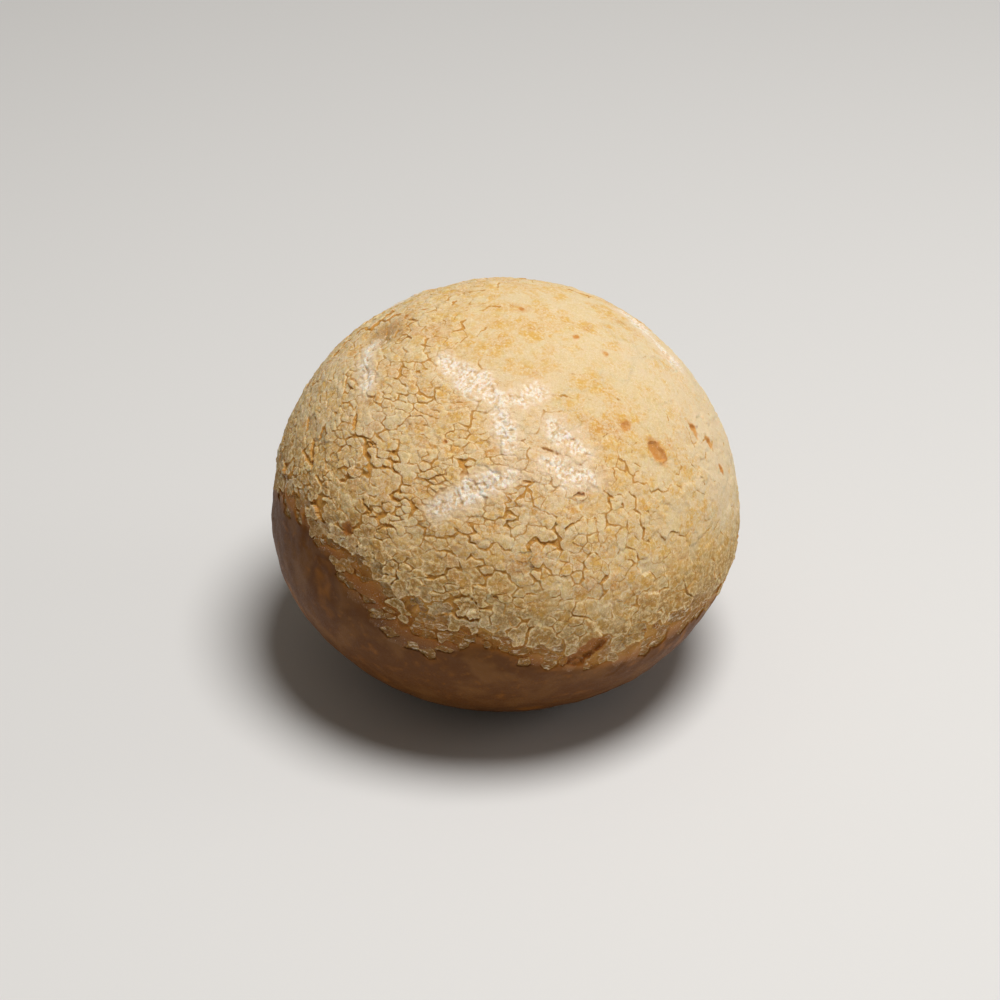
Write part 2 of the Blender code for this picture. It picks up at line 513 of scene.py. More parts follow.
def pair_lot(kind, one, other):
    """A fixed random number for each pair of neighbours, the same both ways round."""
    low = np.minimum(one, other)
    high = np.maximum(one, other)
    return PAIR_LOTS[kind, (low * 7919 + high * 104729) % LOTS]     # two primes mix the pair


def near_segment(directions, start, end, width):
    """Which directions are near the line between two places, and how far along and off it they are."""
    first = direction(*start)
    span = direction(*end) - first
    reach = np.linalg.norm(span) / 2 + 2.0 * (width + SMEAR) / WIDTH * 2
    near = np.flatnonzero(np.abs((directions - first - span / 2)).max(axis=1) < reach)
    offset = directions[near] - first
    along = np.clip(offset @ span / (span @ span), 0.0, 1.0)
    away = offset - along[:, None] * span
    sideways = np.cross(first, span)
    side = away @ (sideways / np.linalg.norm(sideways))
    return near, along, np.linalg.norm(away, axis=1) * WIDTH / 2, side * WIDTH / 2


def gash_distance(directions, ragged):
    """Signed distance to the nearest gash, less than 0 inside; their ends are pointed."""
    nearest = np.full(len(directions), FAR)
    for start, end, width in GASHES:
        near, along, away = near_segment(directions, start, end, width)[:3]
        full = np.sqrt(np.clip(1.0 - (2.0 * along - 1.0) ** 2, 0.05, 1.0))
        nearest[near] = np.minimum(nearest[near], away - width * full * ragged[near])
    return nearest


def tear_distance(directions, ragged):
    """Signed distance to the nearest tear, and the fibres that run across it."""
    nearest = np.full(len(directions), FAR)
    places = np.zeros((len(directions), 3))
    for number, (start, end, width) in enumerate(TEARS):
        near, along, away, side = near_segment(directions, start, end, width)
        full = 0.35 + 0.65 * np.sqrt(np.clip(1.0 - (2.0 * along - 1.0) ** 2, 0.0, 1.0))
        distance = away - width * full * ragged[near]
        closer = distance < nearest[near]
        near, distance = near[closer], distance[closer]
        length = np.linalg.norm(direction(*end) - direction(*start)) * WIDTH / 2
        nearest[near] = distance
        places[near, 0] = along[closer] * length
        places[near, 1] = 0.25 * side[closer]
        places[near, 2] = number * 7.3 * MM
    fibres = np.zeros(len(directions))
    close = nearest < SMEAR
    fibres[close] = FIBRE_NOISE(places[close], 0.30 * MM)
    return nearest, fibres


def pit_distance(directions, ragged):
    """Signed distance to the nearest pit, its depth, and the orange stain in and round it."""
    nearest = np.full(len(directions), FAR)
    depth = np.zeros(len(directions))
    stain = np.zeros(len(directions))
    for azimuth, elevation, half_width, half_height, deepest in PITS:
        middle = direction(azimuth, elevation)
        east = direction(azimuth + 90, 0)
        north = np.cross(east, middle) * -1.0
        across = directions @ east * WIDTH / 2 / half_width
        along = directions @ north * WIDTH / 2 / half_height
        reach = np.hypot(across, along)
        distance = (reach - 1.0) * min(half_width, half_height) + ragged
        distance = np.where(directions @ middle > 0.5, distance, FAR)
        depth = np.where(distance < nearest, deepest, depth)
        nearest = np.minimum(nearest, distance)
        stain = np.maximum(stain, smooth_step(0.62 - distance / (0.9 * MM)))
    return nearest, depth, stain


class Spots:
    """Points of the skin: where they are, where they are among the cracks, and the flakes near."""

    def __init__(self, directions, near):
        self.directions = directions
        self.near = near
        self.points = crust_surface(directions)
        self.places = crack_space(self.points)

    def join(self, more):
        """Take in some more spots, after these."""
        for name in ("directions", "near", "points", "places"):
            setattr(self, name, np.concatenate((getattr(self, name), getattr(more, name))))

    def move(self, which, directions):
        """Give some of the spots new directions."""
        moved = Spots(directions, self.near[which])
        for name in ("directions", "points", "places"):
            getattr(self, name)[which] = getattr(moved, name)

    def part(self, which):
        """Some of the spots, as they are."""
        piece = object.__new__(Spots)
        for name in ("directions", "near", "points", "places"):
            setattr(piece, name, getattr(self, name)[which])
        return piece


class Nearby:
    """The flakes round each spot: how far off their middles are, and which one owns the spot."""

    def __init__(self, flakes, spots):
        self.flakes = flakes
        self.near = spots.near
        self.ups = uphill(spots.directions).astype(np.float32)
        self.squeeze = squeezing(spots.directions).astype(np.float32)
        self.middles = flakes.places.astype(np.float32)
        gap = self.middles[self.near] - spots.places.astype(np.float32)[:, None, :]
        climb = np.einsum("ijk,ik->ij", gap, self.ups)
        self.length = np.sqrt(np.einsum("ijk,ijk->ij", gap, gap) + self.squeeze[:, None] * climb ** 2)
        self.lost = flakes.lost[self.near]
        on_crust = np.where(self.lost, np.float32(FAR), self.length)
        rows = np.arange(len(self.near))
        own_column = on_crust.argmin(axis=1)
        self.own = self.near[rows, own_column]
        self.own_length = on_crust[rows, own_column]
        self.bare_length = np.where(self.lost, self.length, np.float32(FAR)).min(axis=1)
        share = np.exp(np.minimum(self.own_length[:, None] - self.length, 0.0) / FLAKE_BLEND)
        share = np.where(self.lost, 0.0, share)
        self.share = (share + 1e-12) / (share + 1e-12).sum(axis=1, keepdims=True)

    def blend(self, values):
        """One value for each spot, from those of the flakes near it."""
        return (self.share * values).sum(axis=1)

    def stretch(self):
        """How much longer than real the way from the owner's middle to each other one counts."""
        span = self.middles[self.near] - self.middles[self.own][:, None, :]
        span_length = np.sqrt(np.einsum("ijk,ijk->ij", span, span)) + 1e-9
        lean = np.einsum("ijk,ik->ij", span, self.ups) / span_length
        return np.sqrt(1.0 + self.squeeze[:, None] * lean ** 2)

    def borders(self):
        """The kind of each border with the owner, and the lot that it has drawn."""
        near, own = self.near, self.own[:, None]
        plate, slab = self.flakes.plate, self.flakes.slab
        kind = np.where(plate[near] == plate[own], FLAKE, np.where(slab[near] == slab[own], PLATE, SLAB))
        lot = np.choose(kind, (
            pair_lot(FLAKE, near, own),
            pair_lot(PLATE, plate[near], plate[own]),
            pair_lot(SLAB, slab[near], slab[own])))
        return kind, lot

    def bare_edge(self, taper):
        """Signed distance to the bare dough beside the flakes, less than 0 on it."""
        edge = (self.bare_length - self.own_length) / 2.0 - EDGE_GAP * np.clip(taper, 0.2, 2.0)
        return np.where(self.bare_length >= FAR, FAR, np.where(self.own_length >= FAR, -FAR, edge))

    def lift(self, points, near_edge, steadiness):
        """How far each plate near a spot stands up there: its own lift and its slab's, and its tilt."""
        plate = self.flakes.plate[self.near]
        arm = points[:, None, :] - self.flakes.points[plate]
        tilting = np.einsum("ijk,ijk->ij", arm, self.flakes.tilt[plate])
        lifts = self.flakes.lift[plate] + 1.2 * self.flakes.lift[self.flakes.slab[self.near]]
        size = (FLAKE_LIFT + EDGE_LIFT * near_edge) * steadiness
        return size[:, None] * lifts + tilting * (steadiness * (0.6 + 0.7 * near_edge))[:, None]


def crack_openness(kind, lot, directions, points, taper):
    """Which borders are cracked, and how wide their cracks gape."""
    rate = (0.10 + 0.90 * (1.0 - calm(directions))) * (1.0 - 0.75 * sparseness(directions))
    chance = CRACK_CHANCE[kind] * rate[:, None]
    width = 0.30 + 1.4 * (lot / chance) ** 2
    openness = (gape(directions, points) * np.clip(taper, 0.0, 1.9))[:, None] * width
    openness = np.where(kind == FLAKE, np.clip(taper, 0.0, 1.3)[:, None], openness)
    return lot < chance, openness


class Holes:
    """Signed distances to the nearest tear, gash and pit."""

    def __init__(self, spots):
        points = spots.points
        wavy = spots.directions + 1.6 * (spots.places - points) / (WIDTH / 2)
        steadier = 0.6 * spots.directions + 0.4 * wavy
        ragged = 1.0 + 0.8 * TAPER_NOISE(points, 1.5 * MM) + 0.6 * EDGE_NOISE(points, 0.5 * MM)
        uneven = ragged + 0.8 * GAPE_NOISE(points, 3.0 * MM) - 0.25
        self.tear, self.fibres = tear_distance(wavy, uneven)
        self.gash = gash_distance(wavy, np.clip(ragged, 0.25, None))
        rim = 0.22 * MM * EDGE_NOISE(points, 0.7 * MM)
        self.pit, self.pit_depth, self.stain = pit_distance(steadier, rim)
        self.torn = np.clip(-self.tear / TEAR_WALL, 0.0, 1.0)
        through = np.where(self.pit_depth >= CRUST_THICKNESS, self.pit, FAR)
        self.opened = np.clip(-np.minimum(self.gash, through) / GASH_WALL, 0.0, 1.0)

    def nearest(self):
        return np.minimum(self.tear, np.minimum(self.gash, self.pit))

    def slope(self):
        """0 at a rim and -1 where its wall ends."""
        return np.minimum(self.tear / TEAR_WALL, np.minimum(self.gash / GASH_WALL, self.pit / PIT_WALL))

    def sinking(self, sunk, thickness, bare):
        """How deep the skin lies where it is cracked, bare, torn, gashed or pitted."""
        sunk = np.maximum(sunk, thickness * np.maximum(bare, np.clip(-self.gash / GASH_WALL, 0.0, 1.0)))
        sunk = np.maximum(sunk, 0.30 * thickness * self.torn)
        in_pit = smooth_step(-self.pit / PIT_WALL)
        sunk = np.maximum(sunk, np.minimum(self.pit_depth, thickness) * in_pit)
        return sunk + np.maximum(self.pit_depth - thickness, 0.0) * in_pit


CHUNK = 50000                             # spots looked at in one go


class Cracks:
    """What the cracks do at each spot: signed distances, less than 0 inside, and depths."""

    def __init__(self, flakes, spots):
        parts = [self.look(flakes, spots.part(slice(at, at + CHUNK)))
                 for at in range(0, len(spots.directions), CHUNK)]
        for name in parts[0]:
            setattr(self, name, np.concatenate([part[name] for part in parts]))

    @staticmethod
    def look(flakes, spots):
        """All the measures of some spots, by name."""
        directions, points = spots.directions, spots.points
        nearby = Nearby(flakes, spots)
        holes = Holes(spots)
        near, own = nearby.near, nearby.own
        steadiness = 1.0 - calm(directions)
        clearance = edge_clearance(directions, points)
        near_edge = smooth_step((5.0 * MM - clearance) / (4.0 * MM))
        taper = 0.85 + 1.0 * TAPER_NOISE(points, 2.6 * MM) + 0.9 * TAPER_NOISE(points, 1.1 * MM)
        thin = nearby.blend(flakes.thin[near])
        thickness = CRUST_THICKNESS + (THIN_THICKNESS - CRUST_THICKNESS) * thin

        kind, lot = nearby.borders()
        cracked, openness = crack_openness(kind, lot, directions, points, taper)
        tapered = NARROWEST * (1.0 - np.clip(4.0 * openness, 0.0, 1.0))
        half_width = np.where(cracked, CRACK_HALF_WIDTH[kind] * openness - tapered, UNOPENED)
        depth = np.minimum(CRACK_DEPTH[kind] * np.clip(openness, 0.4, 1.3), thickness[:, None])
        edge = nearby.bare_edge(taper)
        beside = (nearby.length - nearby.own_length[:, None]) / (2.0 * nearby.stretch()) - half_width
        elsewhere = nearby.lost | (near == own[:, None]) | (edge < -EDGE_WALL)[:, None]
        beside = np.where(elsewhere, FAR, beside)
        plate_rim = np.minimum(np.where(cracked & (kind != FLAKE), beside, FAR).min(axis=1), edge)

        wall = CRACK_WALL[kind]
        slope = np.minimum(np.minimum((beside / wall).min(axis=1), edge / EDGE_WALL), holes.slope())
        bare = np.clip(-edge / EDGE_WALL, 0.0, 1.0)
        crack_sunk = (depth * np.clip(-beside / wall, 0.0, 1.0)).max(axis=1)
        rising = nearby.lift(points, near_edge, steadiness) * (1.0 - 0.75 * thin)[:, None]
        curl = np.exp(-np.clip(plate_rim, 0.0, FAR) / (0.30 * MM)) * near_edge ** 2
        curl = curl * steadiness * (1.0 - 0.8 * thin)
        return {
            "rim": np.minimum(beside.min(axis=1), np.minimum(edge, holes.nearest())),
            "plate_rim": plate_rim,
            "slope": slope,                  # 0 at a rim, -1 and below on a crack's floor
            "sunk": holes.sinking(crack_sunk, thickness, bare),
            "level": (CRUST_THICKNESS - thickness) * (1.0 - bare),
            "torn": holes.torn,
            "tear": holes.tear,
            "pit": holes.pit,
            "fibres": holes.fibres,
            "lift": nearby.blend(rising) + CURL * curl,
            "tone": nearby.blend(0.6 * flakes.tone[flakes.plate[near]] + 0.4 * flakes.tone[near]),
            "bare": smooth_step(np.maximum(bare, holes.opened)),
            "stain": holes.stain,
            "thin": thin,
            "browned": smooth_step((1.0 * MM - clearance) / (3.5 * MM)),
            "bloom": 1.0 - smooth_step(-clearance / (fringe(directions, points) + 1.5 * MM)),
        }


# ---------------------------------------------------------------- the skin's triangles

SUBDIVISIONS = 7              # of the sphere before anything is refined
FINE_BESIDE_RIM = 0.12 * MM   # nearer than this the triangles are halved again
FINE_ROUND_HOLE = 0.4 * MM


def unit(vectors):
    """The vectors at length 1."""
    return vectors / np.linalg.norm(vectors, axis=1, keepdims=True)


def between(pairs, directions, fractions):
    """Directions part of the way from the first to the second of each pair."""
    first, second = pairs.T
    return unit(directions[first] * (1.0 - fractions[:, None]) + directions[second] * fractions[:, None])


class Skin:
    """Triangles on the unit sphere, and the spots at their corners."""

    def __init__(self, flakes, subdivisions):
        ball = bmesh.new()
        bmesh.ops.create_icosphere(ball, subdivisions=subdivisions, radius=1.0)
        directions = unit(np.array([vertex.co for vertex in ball.verts], dtype=float))
        self.triangles = np.array([[vertex.index for vertex in face.verts] for face in ball.faces])
        ball.free()
        self.flakes = flakes
        self.spots = Spots(directions, flakes.near(directions))

    def edges(self):
        """Each edge once, and the three edges of every triangle."""
        count = len(self.spots.directions)
        ends = np.sort(np.stack((self.triangles, np.roll(self.triangles, -1, axis=1)), axis=2), axis=2)
        unique, sides = np.unique(ends[..., 0] * count + ends[..., 1], return_inverse=True)
        return np.stack((unique // count, unique % count), axis=1), sides.reshape(-1, 3)

    def add_points(self, pairs, fractions):
        """New spots part of the way along some edges."""
        start = len(self.spots.directions)
        middles = between(pairs, self.spots.directions, fractions)
        self.spots.join(Spots(middles, self.spots.near[pairs[:, 0]]))
        return np.arange(start, start + len(pairs))

    def split(self, sides, new_point):
        """Replace the triangles whose edges carry a new point: -1 means none."""
        on_side = new_point[sides]
        count = (on_side >= 0).sum(axis=1)
        result = [self.triangles[count == 0]]

        one = count == 1
        turn = (on_side[one] >= 0).argmax(axis=1)
        a, b, c, m, _, _ = rolled(self.triangles[one], on_side[one], turn)
        result += [np.stack((a, m, c), axis=1), np.stack((m, b, c), axis=1)]

        two = count == 2
        turn = ((on_side[two] < 0).argmax(axis=1) + 1) % 3
        a, b, c, m, n, _ = rolled(self.triangles[two], on_side[two], turn)
        result += [np.stack((m, b, n), axis=1), np.stack((a, m, n), axis=1), np.stack((a, n, c), axis=1)]

        three = count == 3
        a, b, c, m, n, o = rolled(self.triangles[three], on_side[three], np.zeros(three.sum(), int))
        result += [np.stack((a, m, o), axis=1), np.stack((b, n, m), axis=1),
                   np.stack((c, o, n), axis=1), np.stack((m, n, o), axis=1)]
        self.triangles = np.concatenate(result)

    def refine(self, wanted):
        """Halve the edges of the wanted triangles."""
        pairs, sides = self.edges()
        chosen = np.zeros(len(pairs), bool)
        chosen[sides[wanted].ravel()] = True
        new_point = np.full(len(pairs), -1)
        new_point[chosen] = self.add_points(pairs[chosen], np.full(chosen.sum(), 0.5))
        self.split(sides, new_point)

    def line_up(self, measure, level):
        """Give the line where the measure equals the level its own points and edges."""
        values = measure(Cracks(self.flakes, self.spots)) - level
        pairs, sides = self.edges()
        cut = self.slide(pairs, values)
        new_point = np.full(len(pairs), -1)
        shares = self.crossings(pairs[cut], values, measure, level)
        new_point[cut] = self.add_points(pairs[cut], shares)
        self.split(sides, new_point)

    def slide(self, pairs, values):
        """Move the points that nearly lie on the line onto it; which edges still cross it."""
        first, second = pairs.T
        fraction = values[first] / (values[first] - values[second] + 1e-20)
        crossing = values[first] * values[second] < 0.0
        for ends, share in ((pairs, fraction), (pairs[:, ::-1], 1.0 - fraction)):
            slight = np.flatnonzero(crossing & (share < NEAREST_CROSSING) & (values[ends[:, 0]] != 0.0))
            movers, pick = np.unique(ends[slight, 0], return_index=True)
            slight = slight[pick]
            self.spots.move(movers, between(ends[slight], self.spots.directions, share[slight]))
            values[movers] = 0.0
            crossing = values[first] * values[second] < 0.0
        return np.flatnonzero(crossing)

    def crossings(self, ends, values, measure, level):
        """How far along each edge the line crosses it, closed in on twice."""
        low, high = np.zeros(len(ends)), np.ones(len(ends))
        low_value, high_value = values[ends[:, 0]], values[ends[:, 1]]
        for _ in range(2):
            share = low + (high - low) * np.clip(low_value / (low_value - high_value), 0.06, 0.94)
            middles = Spots(between(ends, self.spots.directions, share), self.spots.near[ends[:, 0]])
            value = measure(Cracks(self.flakes, middles)) - level
            before = value * low_value > 0.0
            low, low_value = np.where(before, share, low), np.where(before, value, low_value)
            high, high_value = np.where(before, high, share), np.where(before, high_value, value)
        share = low + (high - low) * np.clip(low_value / (low_value - high_value + 1e-20), 0.0, 1.0)
        return np.clip(share, 0.05, 0.95)


def rolled(triangles, on_side, turn):
    """Corners and edge points of triangles turned so that a chosen edge comes first."""
    rows = np.arange(len(triangles))
    corners = [triangles[rows, (turn + step) % 3] for step in range(3)]
    middles = [on_side[rows, (turn + step) % 3] for step in range(3)]
    return (*corners, *middles)


def wall_slope(cracks):
    """0 along a crack's rim, and -1 where its wall meets its floor."""
    return cracks.slope


def make_skin():
    """The whole skin of the ball, fine where the crust is cracked."""
    flakes = Flakes()
    skin = Skin(flakes, SUBDIVISIONS)
    clearance = edge_clearance(skin.spots.directions, skin.spots.points)
    skin.refine((clearance > -BELLY_START)[skin.triangles].any(axis=1))
    cracks = Cracks(flakes, skin.spots)
    at_rim = (np.abs(cracks.rim) < FINE_BESIDE_RIM) & (calm(skin.spots.directions) < 0.75)
    crumbly = np.minimum(cracks.tear, cracks.pit) < FINE_ROUND_HOLE
    skin.refine((at_rim | crumbly)[skin.triangles].any(axis=1))
    skin.line_up(wall_slope, 0.0)
    skin.line_up(wall_slope, -1.0)
    return flakes, skin


def press_skin(flakes, skin):
    """Final points of the skin, and what its materials need to know at each."""
    cracks = Cracks(flakes, skin.spots)
    directions, points = skin.spots.directions, skin.spots.points
    steadiness = 1.0 - calm(directions)
    flour = flouring(directions, points)
    on_crust = 1.0 - cracks.bare
    shoulder = 0.055 * MM * np.exp(-np.maximum(cracks.rim, 0.0) / SHOULDER) * steadiness * on_crust
    lumps = 0.15 * MM * RELIEF_NOISE(points, 4.2 * MM) * (0.5 + 0.5 * steadiness)
    waves = 0.075 * MM * RELIEF_NOISE(points, 1.5 * MM) * (0.5 + 0.5 * steadiness)
    crumbly = (0.25 + 0.75 * on_crust) * (1.0 - 0.5 * cracks.browned)
    granules = 0.13 * MM * np.abs(RELIEF_NOISE(points, 0.80 * MM))
    granules = granules + 0.05 * MM * RELIEF_NOISE(points, 0.42 * MM)
    fibres = 0.14 * MM * cracks.fibres + 0.10 * MM * CRUMB_NOISE(points, 0.45 * MM)
    fibres += 0.06 * MM * CRUMB_NOISE(points, 0.24 * MM)
    crumbling = np.exp(-np.maximum(cracks.tear, 0.0) / (0.8 * MM))
    outwards = -cracks.sunk - cracks.level - shoulder + cracks.lift * (cracks.sunk <= 0.0)
    outwards += lumps + waves + granules * crumbly * (1.0 - 0.4 * (1.0 - steadiness))
    outwards += fibres * (0.3 * crumbling + 0.7 * cracks.torn)
    points = set_down(points + directions * outwards[:, None])
    marks = {
        "gap": cracks.sunk / CRUST_THICKNESS,        # 1 where a crack goes through the crust
        "rim": np.exp(-np.maximum(cracks.rim, 0.0) / (0.16 * MM)),
        "plate_rim": np.exp(-np.maximum(cracks.plate_rim, 0.0) / (0.30 * MM)),
        "torn": np.maximum(cracks.torn, 0.85 * np.exp(-np.maximum(cracks.tear, 0.0) / (1.5 * MM))),
        "tone": cracks.tone,                         # one value for each plate and flake
        "bare": cracks.bare,                         # dough with no crust on it
        "thin": np.maximum(cracks.thin, 0.6 * around(directions, *WORN)),
        # height of the crumbs' relief, which the tears' colour uses for painted shade in its hollows
        "crumbs": fibres / (0.20 * MM),
        # 1 low on the crust near its edge; the plates' colour darkens with it as painted shade
        "low": smooth_step(1.0 - edge_clearance(directions, points) / (14.0 * MM)),
        "stain": cracks.stain,
        "flour": flour,
        "browned": cracks.browned,                   # dough in cracks that is brown as the belly
        "bloom": cracks.bloom,                       # the band below the crust's edge: dusty, and lighter with painted glow
        "dusty": 0.25 + 0.5 * around(directions, *DUSTY) + 0.5 * around(directions, *DUSTY_BACK),
        # 1 at the base, falling off upwards: how far the belly is darkened with painted shade
        "base": 0.75 * smooth_step(1.0 - (points[:, 2] - LOW[2]) / (17.0 * MM)),
        "smooth": np.maximum(1.0 - steadiness, 0.9 * sparseness(directions)),
    }
    return points, marks


def point_normals(points, triangles, directions):
    """Normals averaged over the triangles at each point; steep ones, the crack walls, count little."""
    a, b, c = (points[triangles[:, corner]] for corner in range(3))
    faces = np.cross(b - a, c - a)
    outward = unit(directions[triangles].mean(axis=1))
    upright = (faces * outward).sum(axis=1) / np.maximum(np.linalg.norm(faces, axis=1), 1e-20)
    faces = faces * np.clip((upright - 0.55) / 0.35, 0.12, 1.0)[:, None]
    normals = np.zeros_like(points)
    for corner in range(3):
        for axis in range(3):
            normals[:, axis] += np.bincount(triangles[:, corner], faces[:, axis], len(points))
    return normals / np.maximum(np.linalg.norm(normals, axis=1, keepdims=True), 1e-20)


# ---------------------------------------------------------------- pieces

def flat_map(directions, middle):
    """Each direction laid out flat round a middle one, with true areas, filling 0 to 1."""
    middle = middle / np.linalg.norm(middle)
    side = np.cross((0.0, 0.0, 1.0), middle) if abs(middle[2]) < 0.9 else np.array((1.0, 0.0, 0.0))
    side /= np.linalg.norm(side)
    top = np.cross(middle, side)
    scale = np.sqrt(2.0 / np.maximum(1.0 + directions @ middle, 1e-6))
    spread = np.stack((directions @ side * scale, directions @ top * scale), axis=1)
    low = spread.min(axis=0)
    return 0.01 + 0.98 * (spread - low) / (spread.max(axis=0) - low)


def make_piece(name, skin, points, normals, marks, chosen, material):
    """One piece of the skin as an object, with its marks, its flat map and its normals."""
    used, triangles = np.unique(skin.triangles[chosen], return_inverse=True)
    triangles = triangles.reshape(-1, 3)
    mesh = bpy.data.meshes.new(name)
    mesh.vertices.add(len(used))
    mesh.vertices.foreach_set("co", points[used].ravel())
    mesh.loops.add(triangles.size)
    mesh.loops.foreach_set("vertex_index", triangles.ravel())
    mesh.polygons.add(len(triangles))
    mesh.polygons.foreach_set("loop_start", np.arange(0, triangles.size, 3))
    mesh.update(calc_edges=True)
    mesh.shade_smooth()
    for mark, values in marks.items():
        layer = mesh.attributes.new(mark, "FLOAT", "POINT")
        layer.data.foreach_set("value", values[used].astype(np.float32))
    layout = mesh.uv_layers.new(name="OFBake")
    directions = skin.spots.directions[used]
    places = flat_map(directions, directions.mean(axis=0))
    layout.uv.foreach_set("vector", places[triangles.ravel()].astype(np.float32).ravel())
    mesh.normals_split_custom_set_from_vertices(normals[used])
    mesh.materials.append(material)
    piece = bpy.data.objects.new(name, mesh)
    bpy.context.scene.collection.objects.link(piece)
    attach(piece, "root")
    return piece


CROWN_START = 57              # elevation of the lowest slab of the crown
SIDES = (                     # azimuths of their slabs
    ("front_left", -90, 0),
    ("front_right", 0, 90),
    ("back_right", 90, 180),
    ("back_left", -180, -90),
)


def owners(flakes, skin):
    """For each triangle the nearest flake, and the nearest one that isn't lost."""
    middles = unit(skin.spots.directions[skin.triangles].mean(axis=1))
    near = skin.spots.near[skin.triangles[:, 0]]
    gap = flakes.places[near] - crack_space(crust_surface(middles))[:, None, :]
    climb = np.einsum("ijk,ik->ij", gap, uphill(middles))
    length = (gap ** 2).sum(axis=2) + squeezing(middles)[:, None] * climb ** 2
    rows = np.arange(len(near))
    on_crust = np.where(flakes.lost[near], FAR, length)
    return near[rows, length.argmin(axis=1)], near[rows, on_crust.argmin(axis=1)]


def shares_of_skin(flakes, skin):
    """The triangles of the belly, the crown and the four sides, parted along cracks."""
    nearest, nearest_crust = owners(flakes, skin)
    belly = flakes.belly[nearest]
    home = flakes.directions[flakes.slab[nearest_crust]]
    elevation = np.degrees(np.arcsin(np.clip(home[:, 2], -1.0, 1.0)))
    azimuth = np.degrees(np.arctan2(home[:, 0], -home[:, 1]))
    crown = ~belly & (elevation > CROWN_START)
    shares = {"belly": belly, "crust_crown": crown}
    for name, start, end in SIDES:
        shares["crust_" + name] = ~belly & ~crown & (azimuth >= start) & (azimuth < end)
    return shares


def make_pieces(belly_look, crust_look):
    """The pieces that ride on the frame and stand in for the plain solid."""
    flakes, skin = make_skin()
    points, marks = press_skin(flakes, skin)
    normals = point_normals(points, skin.triangles, skin.spots.directions)
    for name, chosen in shares_of_skin(flakes, skin).items():
        look = belly_look if name == "belly" else crust_look
        piece = make_piece(name, skin, points, normals, marks, chosen, look)
        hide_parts("bread")


# ---------------------------------------------------------------- materials

CREAM = (0.75, 0.600, 0.335)
GOLD = (0.74, 0.450, 0.115)
DEEP_GOLD = (0.66, 0.340, 0.090)
OLIVE_GOLD = (0.45, 0.265, 0.085)
PALE_RIM = (0.84, 0.67, 0.37)
FLOUR = (0.80, 0.66, 0.45)
CRUMB = (0.84, 0.68, 0.48)
CRUMB_TIP = (0.95, 0.88, 0.79)
# painted shade between the crumbs of the tears
CRUMB_SHADE = (0.76, 0.55, 0.320)
VEIN = (0.80, 0.66, 0.45)
AMBER = (0.46, 0.215, 0.036)
# brighter amber painted in the cracks as the glow of light through the crust
PAINTED_GLOW_AMBER = (0.60, 0.305, 0.064)
# dark brown painted in hairlines and between grains as the shade that falls in them
HAIRLINE_SHADE = (0.54, 0.275, 0.066)
ORANGE = (0.62, 0.27, 0.065)
PALE_ORANGE = (0.70, 0.38, 0.140)
# the thin crust's own brown, also painted low on the crust as shade
THIN_CRUST_AND_SHADE = (0.30, 0.155, 0.042)
# the belly's browns, painted darker than the dough's own as the shade on the underside
BELLY_BROWN = (0.135, 0.046, 0.006)
BELLY_AMBER = (0.330, 0.118, 0.011)
BELLY_PALE = (0.200, 0.080, 0.016)
# painted light: the belly made lighter just below the crust's edge
BELLY_PAINTED_GLOW = (0.390, 0.138, 0.013)
BASE_SHADE_BROWN = (0.075, 0.024, 0.003)
BLOOM = (0.430, 0.255, 0.125)
DARK_HOLE_BROWN = (0.360, 0.125, 0.018)


class Recipe:
    """Short words for putting nodes together."""

    def __init__(self, tree):
        self.tree = tree

    def node(self, kind, **settings):
        node = self.tree.nodes.new("ShaderNode" + kind)
        for name, value in settings.items():
            setattr(node, name, value)
        return node

    def feed(self, socket, value):
        """Link an output, or set a number or a colour."""
        if isinstance(value, bpy.types.NodeSocket):
            self.tree.links.new(value, socket)
        elif isinstance(value, tuple) and len(socket.default_value) == 4:
            socket.default_value = (*value, 1.0)
        else:
            socket.default_value = value

    def mark(self, name):
        """A value that the skin carries, from 0 to 1."""
        return self.node("Attribute", attribute_name=name).outputs["Fac"]

    def mix(self, factor, first, second):
        """The first colour at 0, the second at 1."""
        node = self.node("Mix", data_type="RGBA")
        for socket, value in zip((node.inputs[0], node.inputs[6], node.inputs[7]), (factor, first, second)):
            self.feed(socket, value)
        return node.outputs[2]

    def sum(self, operation, *values, clamp=False):
        node = self.node("Math", operation=operation, use_clamp=clamp)
        for socket, value in zip(node.inputs, values):
            self.feed(socket, value)
        return node.outputs[0]

    def plus(self, first, second):
        return self.sum("ADD", first, second)

    def minus(self, first, second, clamp=False):
        return self.sum("SUBTRACT", first, second, clamp=clamp)

    def times(self, first, second, clamp=False):
        return self.sum("MULTIPLY", first, second, clamp=clamp)

    def ramp(self, value, low, high, bottom=0.0, top=1.0):
        """A smooth step from the bottom at low to the top at high."""
        node = self.node("MapRange", interpolation_type="SMOOTHSTEP")
        for socket, number in zip(node.inputs, (value, low, high, bottom, top)):
            self.feed(socket, number)
        return node.outputs[0]

    def fade(self, mark, low, high, bottom=0.0, top=1.0):
        """A smooth step of one of the skin's marks."""
        return self.ramp(self.mark(mark), low, high, bottom, top)

    def noise(self, size, detail=2.0, roughness=0.5, distortion=0.0, flat=1.0):
        """Values round 0.5 in patches of the given size, that many times wider than high."""
        place = self.node("TexCoord").outputs["Object"]
        if flat != 1.0:
            squeezed = self.node("VectorMath", operation="MULTIPLY")
            self.feed(squeezed.inputs[0], place)
            self.feed(squeezed.inputs[1], (1.0, 1.0, flat))
            place = squeezed.outputs[0]
        node = self.node("TexNoise")
        self.feed(node.inputs["Vector"], place)
        scale = self.sum("DIVIDE", 1.0, size) if isinstance(size, bpy.types.NodeSocket) else 1.0 / size
        for name, value in (("Scale", scale), ("Detail", detail), ("Roughness", roughness),
                            ("Distortion", distortion)):
            self.feed(node.inputs[name], value)
        return node.outputs["Fac"]

    def place(self, group, **values):
        """A group node with its own values."""
        node = self.node("Group", node_tree=group)
        for name, value in values.items():
            self.feed(node.inputs[name.replace("_", " ")], value)
        return node.outputs


